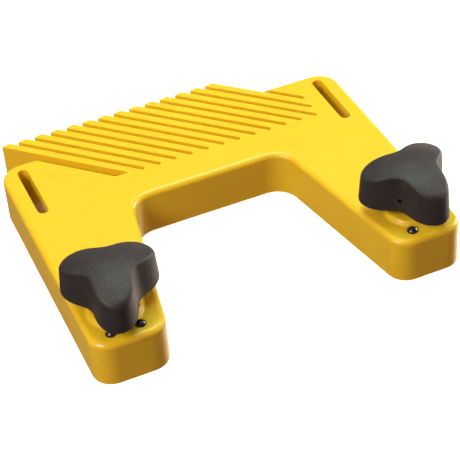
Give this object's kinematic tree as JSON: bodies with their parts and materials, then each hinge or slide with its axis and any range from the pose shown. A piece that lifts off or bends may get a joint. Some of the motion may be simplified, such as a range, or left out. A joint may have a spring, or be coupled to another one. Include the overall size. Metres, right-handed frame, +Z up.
{
  "type": "switchable magnet featherboard",
  "caption": "U-shaped plastic featherboard with a comb of slanted spring fingers and a lobed rotary knob that switches a magnet on or off in each arm.",
  "frame": {"origin": "underside, on the centre line, at the middle of the crossbar's depth", "axes": "+Z up from the underside, +Y towards the fingertips, +X along the crossbar to the right arm"},
  "size_m": [0.2233, 0.1935, 0.0609],
  "materials": {
    "yellow_plastic": "moulded, satin gloss",
    "knob_plastic": "moulded, fine matt grain",
    "screw_black": "gloss black oxide",
    "spindle_steel": "turned",
    "bush_bronze": "sintered bronze",
    "seal_rubber": "moulded",
    "spring_steel": "oiled",
    "lid_alloy": "machined",
    "pole_steel": "ground, nickel plated",
    "magnet_nickel": "nickel plated",
    "separator_plastic": "low-friction sheet"
  },
  "bodies": {
    "base": {"base_moulding": "yellow_plastic", "mounting_screws": "screw_black", "left_spindle_bush": "bush_bronze", "left_spindle_seal": "seal_rubber", "left_magnet_lid": "lid_alloy", "left_pole_housing": "pole_steel", "left_separator_disc": "separator_plastic", "left_lower_magnet": "magnet_nickel", "right_spindle_bush": "bush_bronze", "right_spindle_seal": "seal_rubber", "right_magnet_lid": "lid_alloy", "right_pole_housing": "pole_steel", "right_separator_disc": "separator_plastic", "right_lower_magnet": "magnet_nickel"},
    "left_switch": {"left_knob": "knob_plastic", "left_knob_grub_screw": "screw_black", "left_spindle": "spindle_steel", "left_retaining_ring": "spring_steel", "left_stop_pin": "spindle_steel", "left_upper_magnet": "magnet_nickel"},
    "right_switch": {"right_knob": "knob_plastic", "right_knob_grub_screw": "screw_black", "right_spindle": "spindle_steel", "right_retaining_ring": "spring_steel", "right_stop_pin": "spindle_steel", "right_upper_magnet": "magnet_nickel"}
  },
  "joints": [
    {"name": "left_knob_turn", "type": "hinge", "parent": "base", "child": "left_switch", "pos_m": [-0.08745, -0.0924, 0], "axis": [0, 0, 1], "range_deg": [-180, 0]},
    {"name": "right_knob_turn", "type": "hinge", "parent": "base", "child": "right_switch", "pos_m": [0.08745, -0.0924, 0], "axis": [0, 0, 1], "range_deg": [-180, 0]}
  ]
}
